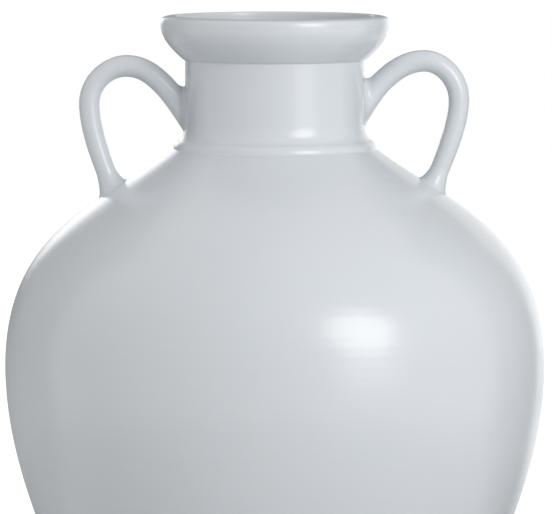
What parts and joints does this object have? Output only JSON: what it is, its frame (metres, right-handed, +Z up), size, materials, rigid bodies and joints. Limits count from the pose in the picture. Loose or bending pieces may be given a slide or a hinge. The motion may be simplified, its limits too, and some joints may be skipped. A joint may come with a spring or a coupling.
{
  "type": "vase",
  "caption": "Tall round-shouldered ceramic vase with a straight neck, a collar bead, a flared cup rim and two looped handles from neck to shoulder.",
  "frame": {"origin": "centre of the foot ring's underside, on the surface that the vase stands on", "axes": "+Z up through the mouth, the handles along X, and the side seen in the picture facing -Y"},
  "size_m": [0.356, 0.356, 0.457],
  "materials": {
    "glazed_body": "satin",
    "bare_clay": "matte"
  },
  "bodies": {
    "root": {"foot_ring": "bare_clay", "lower_body": "glazed_body", "shoulder": "glazed_body", "neck": "glazed_body", "rim": "glazed_body", "handle_left": "glazed_body", "handle_right": "glazed_body"}
  },
  "joints": []
}
